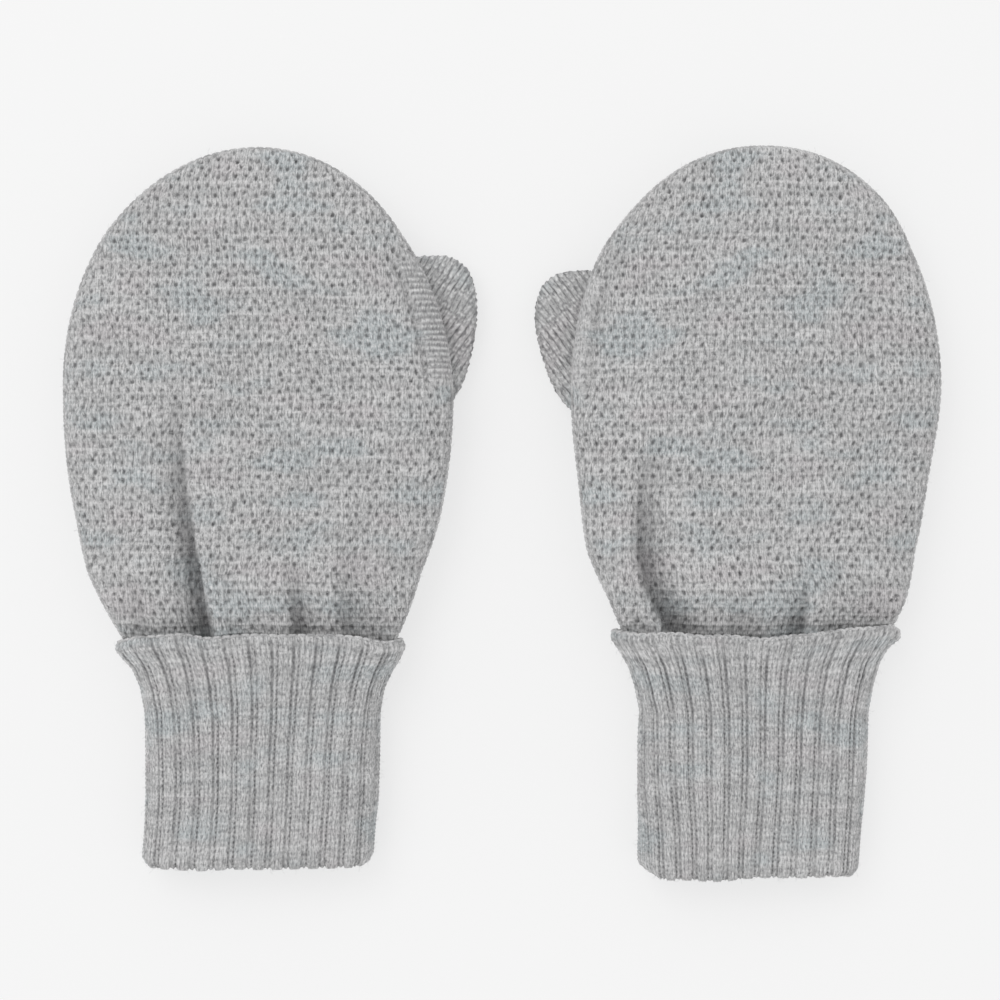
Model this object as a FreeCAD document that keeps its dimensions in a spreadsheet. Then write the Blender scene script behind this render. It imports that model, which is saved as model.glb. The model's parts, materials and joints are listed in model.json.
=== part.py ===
import FreeCAD, Part
import Sketcher
import math
import os

# A pair of child's knitted mittens lying palm down, fingers towards +Y, thumbs towards the middle.
# Each mitten is a puffed two-panel hand, cut across the knuckles so that the top flips back,
# a thumb tube under the palm, and a long ribbed cuff that is turned up over itself.
# In a mitten's own frame, "across" runs from its centre line towards the thumb, "along" runs
# towards the fingers from the widest line of the hand, and "up" is height above the table.

doc = FreeCAD.newDocument("mittens")
sheet = doc.addObject("Spreadsheet::Sheet", "sizes")

drivingSizes = {
    # the pair
    "spacing": 118.4,         # between the two centre lines
    "gap": 0.3,               # room between pieces that move past each other
    # the puffed hand
    "half_width": 45.4,
    "crown_reach": 58.5,      # widest line to finger tip
    "wrist_reach": 80.5,      # where the sides would meet, under the cuff
    "rise": 8.0,              # side seam to the top of the back
    "drop": 13.5,             # side seam to the bottom of the palm, before it lies flat
    "seam_height": 12.0,
    "seam_half": 0.9,
    "bead": 0.6,              # how far the seam stands out of the sides
    "wall": 1.6,              # one ply of knitting
    "thin_wall": 1.2,         # the cap's lip, where it laps over the palm's welt
    "welt_inner": 3.0,        # inside face of the palm's welt, from the hand's outer face
    # the flip top
    "knuckle": 16.0,
    "lip_start": 1.0,         # free edge of the cap on the palm side
    "lip_hem": 6.0,           # ribbed hem along that edge
    "lip_side": 27.0,         # the lip stops here, short of the thumb
    "welt_start": -4.0,
    "welt_end": 15.0,
    # the thumb
    "root_across": 38.5,
    "root_along": 5.0,
    "root_radius": 10.5,
    "tip_across": 41.2,
    "tip_along": 24.0,
    "thumb_half": 11.0,
    "thumb_reach": 20.3,
    "finger_shift_across": 0.2,   # the finger's middle, from midway between root and tip
    "finger_shift_along": 0.3,
    "thumb_height": 9.4,
    "thumb_depth": 5.0,
    "thumb_lean": 8.5,        # degrees away from the fingers' direction
    "thumb_hole": 6.5,
    "hole_rim": 8.3,
    "pocket_room": 0.6,       # between the thumb and the dent that it lies in
    # the ribbed cuff
    "wrist_end": -65.0,
    "wrist_seam_depth": 2.0,
    "wrist_flange": 2.0,      # how far the wrist's seam stands out past the cuff's mouth
    "wrist_seam_top": 15.8,
    "cuff_end": -112.0,
    "hem": -114.0,            # fold at the bottom of the turn-up
    "flare_start": -78.0,
    "flare_end": -59.0,
    "cuff_edge": -57.3,       # free edge of the turn-up
    "edge_bead": 0.2,         # how far the cast-off edge stands out of the turn-up
    "cuff_half": 28.4,
    "cuff_height": 15.0,
    "flare_half": 34.7,
    "flare_height": 20.4,
    "mouth_half": 24.9,
    "mouth_low": 3.5,
    "mouth_high": 11.5,
}

for row, (alias, value) in enumerate(drivingSizes.items(), start=1):
    sheet.set(f"A{row}", alias)
    sheet.set(f"B{row}", str(value))
    sheet.setAlias(f"B{row}", alias)
doc.recompute()

# The row's origin is under the middle of the whole pair, so a mitten's frame is shifted along Y.
shift = "(sizes.hem + sizes.crown_reach + sizes.bead)/2"
far = "130"                   # longer than any mitten, for cutting blocks
wide = ("-60", "60")          # wider than a mitten
above = "40"                  # higher than a mitten
below = "-1"
seamDepth = "20"              # a deep egg has nearly upright sides where the seam is cut from it


class Mitten:
    """Builds one mitten's pieces; side is -1 for the left mitten and 1 for the right."""

    def __init__(self, prefix, side):
        self.prefix = prefix
        self.side = side
        self.pieces = []

    # ---- placing and combining ----

    def name(self, word):
        return f"{self.prefix}_{word}"

    def acrossToX(self, across):
        return f"{self.side}*(sizes.spacing/2 - ({across}))"

    def place(self, thing, across, along, up):
        thing.setExpression("Placement.Base.x", self.acrossToX(across))
        thing.setExpression("Placement.Base.y", f"({along}) - {shift}")
        thing.setExpression("Placement.Base.z", up)

    def combine(self, kind, word, things):
        result = doc.addObject(kind, self.name(word))
        if kind in ("Part::Cut", "Part::Common"):
            result.Base, result.Tool = things
        else:
            result.Shapes = things
        return result

    def fuse(self, word, *things):
        return self.combine("Part::MultiFuse", word, list(things))

    def cut(self, word, base, tool):
        return self.combine("Part::Cut", word, [base, tool])

    def common(self, word, base, tool):
        return self.combine("Part::Common", word, [base, tool])

    def keep(self, thing, label):
        thing.Label = self.name(label)
        self.pieces.append(thing)

    # ---- simple solids ----

    def block(self, word, across, along, up):
        """A box from (low, high) expressions on each of the mitten's three directions."""
        box = doc.addObject("Part::Box", self.name(word))
        box.setExpression("Length", f"({across[1]}) - ({across[0]})")
        box.setExpression("Width", f"({along[1]}) - ({along[0]})")
        box.setExpression("Height", f"({up[1]}) - ({up[0]})")
        nearSide = across[0] if self.side < 0 else across[1]
        self.place(box, nearSide, along[0], up[0])
        return box

    def disc(self, word, across, along, radius, up):
        cylinder = doc.addObject("Part::Cylinder", self.name(word))
        cylinder.setExpression("Radius", radius)
        cylinder.setExpression("Height", f"({up[1]}) - ({up[0]})")
        self.place(cylinder, across, along, up[0])
        return cylinder

    def quarterEgg(self, word, reach, height, inset, towardsFingers, upper):
        egg = doc.addObject("Part::Ellipsoid", self.name(word))
        egg.setExpression("Radius1", f"{height} - ({inset})")
        egg.setExpression("Radius2", f"sizes.half_width - ({inset})")
        egg.setExpression("Radius3", f"{reach} - ({inset})")
        egg.Angle1 = 0 if upper else -90
        egg.Angle2 = 90 if upper else 0
        egg.Angle3 = 180
        if not towardsFingers:
            egg.Placement.Rotation = FreeCAD.Rotation(FreeCAD.Vector(0, 0, 1), 180)
        self.place(egg, "0", "0", "sizes.seam_height")
        return egg

    def halfHand(self, word, inset, upper):
        """The hand's back (upper) or palm half, shrunk by inset all round."""
        height = "sizes.rise" if upper else "sizes.drop"
        crown = self.quarterEgg(f"{word}_crown", "sizes.crown_reach", height, inset, True, upper)
        wrist = self.quarterEgg(f"{word}_wrist", "sizes.wrist_reach", height, inset, False, upper)
        whole = self.fuse(word, crown, wrist)
        if upper:
            return whole
        flat = self.block(f"{word}_flat", wide, (f"-{far}", far),
                          (inset, "sizes.seam_height"))
        return self.common(f"{word}_laid", whole, flat)

    # ---- the hand and the flip top ----

    def buildBacks(self):
        shell = self.cut("back_shell", self.halfHand("back_out", "0", True),
                         self.halfHand("back_in", "sizes.wall", True))
        heights = ("sizes.seam_height + sizes.seam_half", above)
        handArea = self.block("back_hand_area", wide,
                              ("sizes.wrist_end", "sizes.knuckle - sizes.gap/2"), heights)
        capArea = self.block("back_cap_area", wide,
                             ("sizes.knuckle + sizes.gap/2", far), heights)
        self.keep(self.common("back_hand", shell, handArea), "hand_back")
        self.keep(self.common("back_cap", shell, capArea), "cap_back")

    def pocket(self, word, room):
        """The dent that the thumb lies in, open towards the outside of the hand."""
        radius = f"sizes.root_radius + {room}"
        heights = (below, f"sizes.thumb_height + {room}")
        root = self.disc(f"{word}_root", "sizes.root_across", "sizes.root_along", radius, heights)
        tip = self.disc(f"{word}_tip", "sizes.tip_across", "sizes.tip_along", radius, heights)
        outer = self.block(f"{word}_outer", ("sizes.root_across", wide[1]),
                           (f"sizes.root_along - ({radius})", f"sizes.tip_along + {radius}"), heights)
        inner = self.block(f"{word}_inner", (f"sizes.root_across - ({radius})", wide[1]),
                           ("sizes.root_along", "sizes.tip_along"), heights)
        return self.fuse(word, root, tip, outer, inner)

    def buildPalms(self):
        wallRoom = "sizes.pocket_room + sizes.wall"
        outside = self.cut("palm_out_dented", self.halfHand("palm_out", "0", False),
                           self.pocket("pocket_out", "sizes.pocket_room"))
        dentWall = self.pocket("pocket_in", wallRoom)
        inside = self.cut("palm_in_dented", self.halfHand("palm_in", "sizes.wall", False), dentWall)
        thinInside = self.halfHand("lip_in", "sizes.thin_wall", False)
        shell = self.cut("palm_shell", outside, inside)
        thinShell = self.cut("lip_shell", outside, thinInside)

        top = "sizes.seam_height - sizes.seam_half"
        lipTop = f"{top} - sizes.gap"
        lipEnd = "sizes.lip_start + sizes.lip_hem"
        palmEnd = "sizes.lip_start - 2*sizes.gap"
        stripStart = "sizes.lip_side + 2*sizes.gap"
        knuckleLow = "sizes.knuckle - sizes.gap/2"
        knuckleHigh = "sizes.knuckle + sizes.gap/2"

        palmArea = self.fuse(
            "palm_area",
            self.block("palm_main", wide, ("sizes.wrist_end", palmEnd), (below, top)),
            self.block("palm_strip", (stripStart, wide[1]), (palmEnd, knuckleLow), (below, top)))
        palm = self.common("palm_body", shell, palmArea)
        rimHole = self.disc("palm_hole", "sizes.root_across", "sizes.root_along",
                            "sizes.hole_rim", ("sizes.thumb_height/2", above))
        self.keep(self.cut("palm_open", palm, rimHole), "palm")

        capArea = self.block("cap_area", wide, (knuckleHigh, far), (below, top))
        lipArea = self.block("lip_area", (wide[0], "sizes.lip_side"), (lipEnd, knuckleHigh),
                             (below, lipTop))
        cap = self.common("cap_main", shell, capArea)
        lip = self.common("cap_lip", thinShell, lipArea)
        self.keep(self.fuse("cap_front", cap, lip), "cap_palm")

        hemArea = self.block("hem_area", (wide[0], "sizes.lip_side"), ("sizes.lip_start", lipEnd),
                             (below, lipTop))
        self.keep(self.common("cap_hem", thinShell, hemArea), "cap_welt")

        weltShell = self.cut("welt_shell", self.halfHand("welt_out", "sizes.wall", False),
                             self.halfHand("welt_in", "sizes.welt_inner", False))
        weltArea = self.block("welt_area", (wide[0], "sizes.lip_side"),
                              ("sizes.welt_start", "sizes.welt_end"), (below, top))
        self.keep(self.common("welt_band", weltShell, weltArea), "palm_welt")

    def buildSeams(self):
        """The linked seam round the hand's sides and crown, between the back and the palm."""
        outside = [self.quarterEgg(f"seam_{end}_{half}", f"sizes.{end}_reach", seamDepth,
                                   "-sizes.bead", end == "crown", half == "upper")
                   for end in ("crown", "wrist") for half in ("upper", "lower")]
        whole = self.fuse("seam_outside", *outside)
        hollow = [self.quarterEgg(f"seam_hollow_{end}_{half}", f"sizes.{end}_reach", seamDepth,
                                  "sizes.wall", end == "crown", half == "upper")
                  for end in ("crown", "wrist") for half in ("upper", "lower")]
        ring = self.cut("seam_ring", whole, self.fuse("seam_hollow", *hollow))
        heights = ("sizes.seam_height - sizes.seam_half", "sizes.seam_height + sizes.seam_half")
        areas = {"side_seam": ("sizes.wrist_end", "sizes.knuckle - sizes.gap/2"),
                 "crown_seam": ("sizes.knuckle + sizes.gap/2", far)}
        for label, along in areas.items():
            area = self.block(f"{label}_area", wide, along, heights)
            self.keep(self.common(f"{label}_bead", ring, area), label)

    # ---- the thumb ----

    def thumbSolid(self, word, inset):
        """Root and finger of the thumb, shrunk by inset, lying on the table."""
        middle = "sizes.thumb_height - sizes.thumb_depth"
        root = doc.addObject("Part::Ellipsoid", self.name(f"{word}_root"))
        root.setExpression("Radius1", f"sizes.thumb_depth - ({inset})")
        root.setExpression("Radius2", f"sizes.root_radius - ({inset})")
        self.place(root, "sizes.root_across", "sizes.root_along", middle)
        finger = doc.addObject("Part::Ellipsoid", self.name(f"{word}_finger"))
        finger.setExpression("Radius1", f"sizes.thumb_depth - ({inset})")
        finger.setExpression("Radius2", f"sizes.thumb_half - ({inset})")
        finger.setExpression("Radius3", f"sizes.thumb_reach - ({inset})")
        finger.Placement.Rotation = FreeCAD.Rotation(FreeCAD.Vector(0, 0, 1), 1)
        finger.setExpression("Placement.Rotation.Angle", f"{self.side}*sizes.thumb_lean")
        self.place(finger, "(sizes.root_across + sizes.tip_across)/2 + sizes.finger_shift_across",
                   "(sizes.root_along + sizes.tip_along)/2 + sizes.finger_shift_along", middle)
        both = self.fuse(word, root, finger)
        laid = self.block(f"{word}_flat", ("0", "80"), wide, (inset, above))
        return self.common(f"{word}_laid", both, laid)

    def buildThumb(self):
        shell = self.cut("thumb_shell", self.thumbSolid("thumb_out", "0"),
                         self.thumbSolid("thumb_in", "sizes.wall"))
        hole = self.disc("thumb_hole", "sizes.root_across", "sizes.root_along",
                         "sizes.thumb_hole", ("sizes.thumb_height/2", above))
        self.keep(self.cut("thumb_open", shell, hole), "thumb")
        heights = ("sizes.thumb_height + sizes.gap", "sizes.seam_height - sizes.seam_half")
        rim = self.disc("rim_out", "sizes.root_across", "sizes.root_along", "sizes.hole_rim", heights)
        bore = self.disc("rim_in", "sizes.root_across", "sizes.root_along", "sizes.thumb_hole", heights)
        self.keep(self.cut("rim", rim, bore), "thumb_seam")

    # ---- the ribbed cuff ----

    def outline(self, sketch, tag, half, low, high):
        """A flattened round outline: two straight plies joined by half circles."""
        start = sketch.GeometryCount
        arcMiddle, arcRadius = 10.0, 5.0          # first guesses, before the constraints set them
        quarterTurn = math.pi/2
        for left in (False, True):
            sign = -1 if left else 1
            centre = FreeCAD.Vector(sign*arcMiddle, arcRadius, 0)
            circle = Part.Circle(centre, FreeCAD.Vector(0, 0, 1), arcRadius)
            first = quarterTurn if left else -quarterTurn
            sketch.addGeometry(Part.ArcOfCircle(circle, first, first + 2*quarterTurn), False)
        for sign, height in ((1, 0), (-1, 2*arcRadius)):
            plyStart = FreeCAD.Vector(-sign*arcMiddle, height, 0)
            plyEnd = FreeCAD.Vector(sign*arcMiddle, height, 0)
            sketch.addGeometry(Part.LineSegment(plyStart, plyEnd), False)
        rightArc, leftArc, bottomLine, topLine = range(start, start + 4)
        for first, firstEnd, second, secondEnd in ((bottomLine, 2, rightArc, 1),
                                                   (rightArc, 2, topLine, 1),
                                                   (topLine, 2, leftArc, 1),
                                                   (leftArc, 2, bottomLine, 1)):
            sketch.addConstraint(Sketcher.Constraint("Tangent", first, firstEnd, second, secondEnd))
        sketch.addConstraint(Sketcher.Constraint("Equal", rightArc, leftArc))
        sketch.addConstraint(Sketcher.Constraint("Horizontal", bottomLine))
        named = {"radius": Sketcher.Constraint("Radius", rightArc, arcRadius),
                 "right": Sketcher.Constraint("DistanceX", -1, 1, rightArc, 3, arcMiddle),
                 "left": Sketcher.Constraint("DistanceX", leftArc, 3, -1, 1, arcMiddle),
                 "middle": Sketcher.Constraint("DistanceY", -1, 1, rightArc, 3, arcRadius)}
        radius = f"(({high}) - ({low}))/2"
        wanted = {"radius": radius, "right": f"({half}) - {radius}", "left": f"({half}) - {radius}",
                  "middle": f"(({high}) + ({low}))/2"}
        for word, constraint in named.items():
            index = sketch.addConstraint(constraint)
            sketch.renameConstraint(index, f"{tag}_{word}")
            sketch.setExpression(f"Constraints.{tag}_{word}", wanted[word])

    def sketchAt(self, body, word, along):
        sketch = body.newObject("Sketcher::SketchObject", self.name(word))
        plane = [item for item in body.Origin.OriginFeatures if item.Role == "XZ_Plane"][0]
        sketch.AttachmentSupport = [(plane, "")]
        sketch.MapMode = "FlatFace"
        sketch.setExpression("AttachmentOffset.Base.z", f"-({along})")
        return sketch

    def cuffBody(self, label):
        body = doc.addObject("PartDesign::Body", self.name(label))
        self.place(body, "0", "0", "0")
        self.keep(body, label)
        return body

    def tube(self, label, along, outer, inner):
        """A straight ring of knitting between two places along the mitten."""
        body = self.cuffBody(label)
        sketch = self.sketchAt(body, f"{label}_ring", along[1])
        self.outline(sketch, "outer", *outer)
        self.outline(sketch, "inner", *inner)
        pad = body.newObject("PartDesign::Pad", self.name(f"{label}_pad"))
        pad.Profile = sketch
        pad.setExpression("Length", f"({along[1]}) - ({along[0]})")

    def loft(self, body, kind, word, sections):
        sketches = []
        for number, (along, half, low, high) in enumerate(sections):
            sketch = self.sketchAt(body, f"{word}_{number}", along)
            self.outline(sketch, "ply", half, low, high)
            sketches.append(sketch)
        loft = body.newObject(f"PartDesign::{kind}Loft", self.name(word))
        loft.Profile = sketches[0]
        loft.Sections = sketches[1:]
        loft.Ruled = True

    def buildTurnUp(self):
        """The outer ply of the cuff, flared at its free end, with the fold round its bottom."""
        body = self.cuffBody("cuff_turnup")
        self.loft(body, "Additive", "turnup_out", [
            ("sizes.hem", "sizes.cuff_half", "0", "sizes.cuff_height"),
            ("sizes.flare_start", "sizes.cuff_half", "0", "sizes.cuff_height"),
            ("sizes.flare_end", "sizes.flare_half", "0", "sizes.flare_height")])
        inside = [("sizes.cuff_end - sizes.gap", "cuff"), ("sizes.flare_start", "cuff"),
                  ("sizes.flare_end", "flare")]
        self.loft(body, "Subtractive", "turnup_in", [
            (along, f"sizes.{part}_half - sizes.wall", "sizes.wall", f"sizes.{part}_height - sizes.wall")
            for along, part in inside])
        mouth = self.sketchAt(body, "turnup_mouth", "sizes.hem")
        self.outline(mouth, "mouth", "sizes.mouth_half", "sizes.mouth_low", "sizes.mouth_high")
        pocket = body.newObject("PartDesign::Pocket", self.name("turnup_mouth_cut"))
        pocket.Profile = mouth
        pocket.setExpression("Length", "sizes.cuff_end - sizes.hem")

    def buildCuff(self):
        mouth = ("sizes.mouth_half", "sizes.mouth_low", "sizes.mouth_high")
        self.tube("wrist_seam", ("sizes.wrist_end - sizes.wrist_seam_depth", "sizes.wrist_end"),
                  ("sizes.mouth_half + sizes.wrist_flange", "sizes.mouth_low - sizes.wall",
                   "sizes.wrist_seam_top"),
                  mouth)
        self.tube("cuff_inner", ("sizes.cuff_end", "sizes.wrist_end - sizes.wrist_seam_depth"),
                  ("sizes.mouth_half + sizes.wall", "sizes.mouth_low - sizes.wall",
                   "sizes.mouth_high + sizes.wall"), mouth)
        self.buildTurnUp()
        edgeInner = ("sizes.flare_half - sizes.wall", "sizes.wall", "sizes.flare_height - sizes.wall")
        self.tube("cuff_edge", ("sizes.flare_end", "sizes.cuff_edge"),
                  ("sizes.flare_half + sizes.edge_bead", "0", "sizes.flare_height + sizes.edge_bead"),
                  edgeInner)

    def build(self):
        self.buildBacks()
        self.buildPalms()
        self.buildSeams()
        self.buildThumb()
        self.buildCuff()


mittens = [Mitten("left", -1), Mitten("right", 1)]
for mitten in mittens:
    mitten.build()
doc.recompute()

for thing in doc.Objects:
    if "Invalid" in thing.State or "Error" in thing.State:
        raise RuntimeError(f"{thing.Name} could not be rebuilt: {thing.State}")
os.makedirs("parts", exist_ok=True)
for mitten in mittens:
    for piece in mitten.pieces:
        shape = piece.Shape
        if shape.isNull() or not shape.isValid() or not shape.Solids:
            raise RuntimeError(f"{piece.Label} has no valid solid")
        shape.exportStep(f"parts/{piece.Label}.step")
        print(f"{piece.Label:22s} {len(shape.Solids)} solid(s) {shape.Volume:9.1f} mm3")
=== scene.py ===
import bpy
import json
import math
import numpy as np
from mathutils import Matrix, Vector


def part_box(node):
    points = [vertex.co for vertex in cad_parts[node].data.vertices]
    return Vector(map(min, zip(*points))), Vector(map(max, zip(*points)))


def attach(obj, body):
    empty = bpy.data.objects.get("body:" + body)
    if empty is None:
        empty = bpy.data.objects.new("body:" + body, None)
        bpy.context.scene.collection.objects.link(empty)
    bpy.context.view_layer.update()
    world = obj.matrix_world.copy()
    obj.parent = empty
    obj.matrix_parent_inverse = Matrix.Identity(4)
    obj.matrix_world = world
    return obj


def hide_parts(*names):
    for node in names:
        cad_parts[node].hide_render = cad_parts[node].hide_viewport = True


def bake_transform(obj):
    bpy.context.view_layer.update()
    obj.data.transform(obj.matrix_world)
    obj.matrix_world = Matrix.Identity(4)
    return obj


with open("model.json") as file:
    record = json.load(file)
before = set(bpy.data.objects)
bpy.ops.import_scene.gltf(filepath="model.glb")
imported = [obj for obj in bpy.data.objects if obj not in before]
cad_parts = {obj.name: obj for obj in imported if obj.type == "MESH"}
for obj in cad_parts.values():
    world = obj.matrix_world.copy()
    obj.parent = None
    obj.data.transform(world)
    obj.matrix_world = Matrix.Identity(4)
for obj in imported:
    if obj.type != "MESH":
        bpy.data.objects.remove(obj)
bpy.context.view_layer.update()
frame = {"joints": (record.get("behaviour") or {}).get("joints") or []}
mm = 0.001
print("frame loaded")

# Each mitten has its own millimetres: u runs from its centre line towards the thumb, v towards the
# fingers from the widest line of the hand, and z up from the table.
mittenSides = {"left": -1, "right": 1}
knuckleLine = 16.0
mittenPlace = {}
for joint in frame["joints"]:
    if joint["name"].endswith("_cap_flip"):
        prefix = joint["name"].split("_")[0]
        low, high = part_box(f"{prefix}_hand_back")
        across, along, height = (value/mm for value in joint["pos_m"])
        mittenPlace[prefix] = {"centre": (low.x + high.x)/2/mm, "widest": along - knuckleLine,
                               "axisHeight": height}
seamLow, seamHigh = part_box("left_side_seam")
seamHeight = (seamLow.z + seamHigh.z)/2/mm

# What differs between the two mittens as they were laid down.
laid = {
    "left": {"halfWidth": 45.7, "crownReach": 58.3, "wristReach": 80.5, "fullness": 2.0, "trim": 0.0,
             "middleV": (-112, -95, -64, -53, -42, -30, 0, 38, 58),
             "middleU": (-0.6, 0.6, 0.9, 0, -0.9, -0.1, 0, -1.2, -0.2),
             "thumbDrop": 0.0, "thumbTurn": 0.0, "lipWidth": 5.2, "lipLadder": 1.0,
             "ribSlant": 0.0, "hemShift": 1.9, "seed": 3,
             "hemU": (-28, -25, -14, 0, 24, 27.5), "hemV": (0.6, -0.2, -0.8, -0.8, 0.0, 1.6),
             "edgeU": (-34, -28, -17, -11, -2, 17, 25, 30, 35),
             "edgeV": (-1.1, 0.1, 1.1, 0.0, 0.8, 1.1, 0.5, -0.7, -0.3)},
    "right": {"halfWidth": 43.4, "crownReach": 58.7, "wristReach": 80.5, "fullness": 2.12, "trim": 1.1,
              "middleV": (-112, -75, -64, -53, -48, -37, -12, 0, 34, 45, 57),
              "middleU": (1.9, 0.6, 0.8, 0.2, 0.1, 1.6, 0.9, 0.4, 0.3, -1.0, -1.4),
              "thumbDrop": 3.4, "thumbTurn": 5.0, "lipWidth": 3.2, "lipLadder": 0.25,
              "ribSlant": 0.010, "hemShift": -0.8, "seed": 8,
              "hemU": (-26, -22, -6, 12, 23, 27), "hemV": (1.8, 0.2, -0.1, -0.8, -0.6, 1.8),
              "edgeU": (-35, -31, -21, -11, -1, 9, 19, 31, 35),
              "edgeV": (0.6, 3.1, 2.6, 1.0, 0.1, 0.7, 1.3, 1.3, 1.5)},
}


def toRow(prefix, points):
    place = mittenPlace[prefix]
    row = np.empty_like(points, dtype=float)
    row[..., 0] = (place["centre"] - mittenSides[prefix]*points[..., 0])*mm
    row[..., 1] = (points[..., 1] + place["widest"])*mm
    row[..., 2] = points[..., 2]*mm
    return row


def smooth(low, high, x):
    t = np.clip((x - low)/(high - low), 0, 1)
    return t*t*(3 - 2*t)


def bump(x, width):
    return np.exp(-(x/width)**2)


noiseCells = 64


# Smooth random hills between -1 and 1, about size across.
def softNoise(x, y, size, seed):
    grid = np.random.default_rng(seed).uniform(-1, 1, (noiseCells, noiseCells))
    gx, gy = x/size + 20, y/size + 20
    ix, iy = np.floor(gx).astype(int), np.floor(gy).astype(int)
    fx, fy = gx - ix, gy - iy
    fx, fy = fx*fx*(3 - 2*fx), fy*fy*(3 - 2*fy)
    left, right = ix % noiseCells, (ix + 1) % noiseCells
    low, high = iy % noiseCells, (iy + 1) % noiseCells
    return (grid[left, low]*(1 - fx) + grid[right, low]*fx)*(1 - fy) \
        + (grid[left, high]*(1 - fx) + grid[right, high]*fx)*fy


def signedPower(x, power):
    return np.sign(x)*np.abs(x)**power


# The same grid with its first column again at the end, so that it closes into a ring.
def wrapped(grid):
    return np.concatenate([grid, grid[:, :1]], 1)


def wrappedPhase(phase):
    return np.concatenate([phase, phase[:, :1] + rib["count"]], 1)


def addObject(name, data):
    thing = bpy.data.objects.new(name, data)
    bpy.context.scene.collection.objects.link(thing)
    return thing


# Unit normals of a grid of points; its columns may close into a ring.
def gridNormals(points, closed):
    if closed:
        across = np.roll(points, -1, 1) - np.roll(points, 1, 1)
    else:
        across = np.gradient(points, axis=1)
    normals = np.cross(across, np.gradient(points, axis=0))
    length = np.linalg.norm(normals, axis=2, keepdims=True)
    return normals/np.maximum(length, 1e-9)


tuck = {"across": 2.33, "along": 2.08, "jitter": 0.20, "stagger": 0.20, "holeAcross": 0.52, "holeAlong": 0.66,
        "weakHole": 0.80, "holeDepth": 0.85, "waleHeight": 0.20, "loopHeight": 0.06, "holeShade": 0.62,
        "creaseShade": 0.68, "cells": 96}
rib = {"pitch": 4.43, "count": 29, "height": 0.62, "narrowHeight": 0.42, "loop": 1.07, "loopHeight": 0.12}
plain = {"across": 1.16, "along": 1.05, "waleHeight": 0.16, "loopHeight": 0.14}


# Tuck stitch: upright wales with small hollows, every second one deeper. Gives relief, and the hollows as a
# mask for painted shade.
def tuckKnit(u, v, seed):
    chance = np.random.default_rng(seed).uniform(-1, 1, (tuck["cells"], tuck["cells"], 3))
    hollow = np.zeros_like(u)
    for columnStep in (-1, 0, 1):                      # a jittered hollow may reach the next cell
        column = np.floor(u/tuck["across"]) + columnStep
        row = np.floor(v/tuck["along"])
        cell = chance[column.astype(int) % tuck["cells"], row.astype(int) % tuck["cells"]]
        odd = np.mod(column + row, 2)
        lean = tuck["stagger"]*(np.mod(row, 2) - 0.5) + tuck["jitter"]*cell[..., 0]
        aside = (u/tuck["across"] - column - 0.5 - lean)*tuck["across"]
        ahead = (v/tuck["along"] - row - 0.5 - tuck["jitter"]*(cell[..., 1] + 0.7*odd - 0.35))*tuck["along"]
        strength = np.where(odd < 1, 1.0, tuck["weakHole"])*(0.87 + 0.14*cell[..., 2])
        shape = np.exp(-1.2*((aside/tuck["holeAcross"])**2 + (ahead/tuck["holeAlong"])**2))
        hollow = np.maximum(hollow, shape*strength)
    wale = np.cos(4*math.pi*u/tuck["across"])
    loop = np.cos(4*math.pi*v/tuck["along"] + 1.5*np.abs(np.sin(2*math.pi*u/tuck["across"])))
    relief = tuck["waleHeight"]*wale + tuck["loopHeight"]*loop - tuck["holeDepth"]*hollow
    return relief, hollow


# A wide rib of three wales, then a dotted line, a narrow wale and a deep groove.
def ribKnit(phase, v):
    f = phase - np.floor(phase)
    wide = smooth(0.02, 0.13, f)*(1 - smooth(0.62, 0.73, f))
    narrow = smooth(0.77, 0.84, f)*(1 - smooth(0.90, 0.985, f))
    wales = 0.5 + 0.5*np.cos(2*math.pi*(f - 0.37)/0.235)
    loop = np.cos(2*math.pi*v/rib["loop"] + 1.4*np.abs(np.sin(math.pi*(f - 0.37)/0.235)))
    dots = bump(f - 0.755, 0.035)*(0.5 + 0.5*np.cos(2*math.pi*v/rib["loop"]))
    raised = rib["height"]*wide*(0.86 + 0.14*wales) + rib["narrowHeight"]*narrow
    return raised + rib["loopHeight"]*loop*(wide + narrow) - 0.35*dots


def plainKnit(u, v):
    wale = np.abs(np.sin(math.pi*u/plain["across"]))
    loop = np.cos(2*math.pi*v/plain["along"] + 2.2*wale)
    return plain["waleHeight"]*wale + plain["loopHeight"]*loop


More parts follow.
